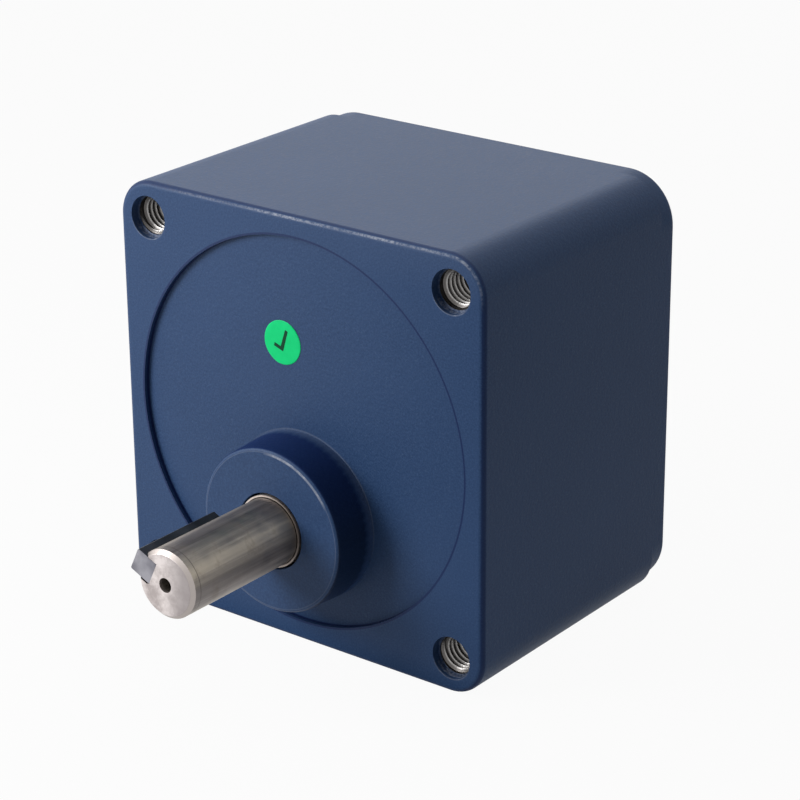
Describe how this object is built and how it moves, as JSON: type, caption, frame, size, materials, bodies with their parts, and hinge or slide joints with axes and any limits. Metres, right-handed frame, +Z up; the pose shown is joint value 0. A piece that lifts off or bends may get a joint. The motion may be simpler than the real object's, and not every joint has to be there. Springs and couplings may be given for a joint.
{
  "type": "brushless gear motor",
  "caption": "Square blue gear case with an offset keyed output shaft; a flat brushless motor drives it through three spur stages.",
  "frame": {"origin": "where the output shaft's axis meets the plane of the front face", "axes": "-Y out along the output shaft, +Z up, +X to the right seen from the front"},
  "size_m": [0.09, 0.118, 0.09],
  "materials": {
    "painted_case": "textured dark blue powder coat on cast aluminium",
    "ground_steel": "turned and ground",
    "bearing_steel": "polished bearing steel",
    "gear_steel": "hobbed and hardened",
    "black_oxide": "black oxide",
    "zinc_screws": "bright zinc",
    "cast_aluminium": "cast and machined",
    "spacer_steel": "turned",
    "bronze": "sintered bronze",
    "rubber": "moulded nitrile rubber",
    "lamination": "stacked electrical steel",
    "magnet": "nickel-plated magnets",
    "insulator": "moulded nylon",
    "copper": "enamelled copper wire",
    "board": "green solder mask",
    "chip": "moulded",
    "gland_plastic": "moulded nylon"
  },
  "bodies": {
    "housing": {"gear_case": "painted_case", "rear_cover": "painted_case", "bearing_plate": "cast_aluminium", "plate_screws": "black_oxide", "cover_screws": "zinc_screws", "cover_gasket": "rubber", "oil_seal": "rubber", "retaining_ring": "black_oxide", "output_front_bearing_outer": "bearing_steel", "output_front_bearing_balls": "bearing_steel", "output_rear_bearing_outer": "bearing_steel", "output_rear_bearing_balls": "bearing_steel", "motor_front_bearing_outer": "bearing_steel", "motor_front_bearing_balls": "bearing_steel", "motor_rear_bearing_outer": "bearing_steel", "motor_rear_bearing_balls": "bearing_steel", "first_shaft_front_bush": "bronze", "first_shaft_rear_bush": "bronze", "second_shaft_front_bush": "bronze", "second_shaft_rear_bush": "bronze", "stator_core": "lamination", "stator_insulator_front": "insulator", "stator_insulator_rear": "insulator", "stator_coils": "copper", "sensor_board": "board", "hall_sensors": "chip", "board_screws": "zinc_screws", "preload_spring": "black_oxide", "cable_gland_body": "gland_plastic", "cable_gland_seal": "rubber", "cable_gland_nut": "gland_plastic"},
    "output": {"output_shaft": "ground_steel", "output_key": "black_oxide", "output_gear": "gear_steel", "output_gear_key": "black_oxide", "output_spacer": "spacer_steel", "output_front_bearing_inner": "bearing_steel", "output_rear_bearing_inner": "bearing_steel"},
    "second": {"second_shaft": "ground_steel", "second_gear": "gear_steel"},
    "first": {"first_shaft": "ground_steel", "first_gear": "gear_steel"},
    "rotor": {"motor_shaft": "ground_steel", "rotor_core": "lamination", "rotor_magnets": "magnet", "motor_front_bearing_inner": "bearing_steel", "motor_rear_bearing_inner": "bearing_steel"}
  },
  "joints": [
    {"name": "output_spin", "type": "hinge", "parent": "housing", "child": "output", "pos_m": [0, 0, 0], "axis": [0, 1, 0], "continuous": true},
    {"name": "second_spin", "type": "hinge", "parent": "housing", "child": "second", "pos_m": [-0.01201, 0, 0.02418], "axis": [0, 1, 0], "continuous": true},
    {"name": "first_spin", "type": "hinge", "parent": "housing", "child": "first", "pos_m": [0.00589, 0, 0.03766], "axis": [0, 1, 0], "continuous": true},
    {"name": "rotor_spin", "type": "hinge", "parent": "housing", "child": "rotor", "pos_m": [0, 0, 0.0175], "axis": [0, 1, 0], "continuous": true}
  ],
  "couplings": [
    {"joint": "second_spin", "follows": "output_spin", "ratio": -2.8571},
    {"joint": "first_spin", "follows": "output_spin", "ratio": 8.5714},
    {"joint": "rotor_spin", "follows": "output_spin", "ratio": -34.286}
  ]
}
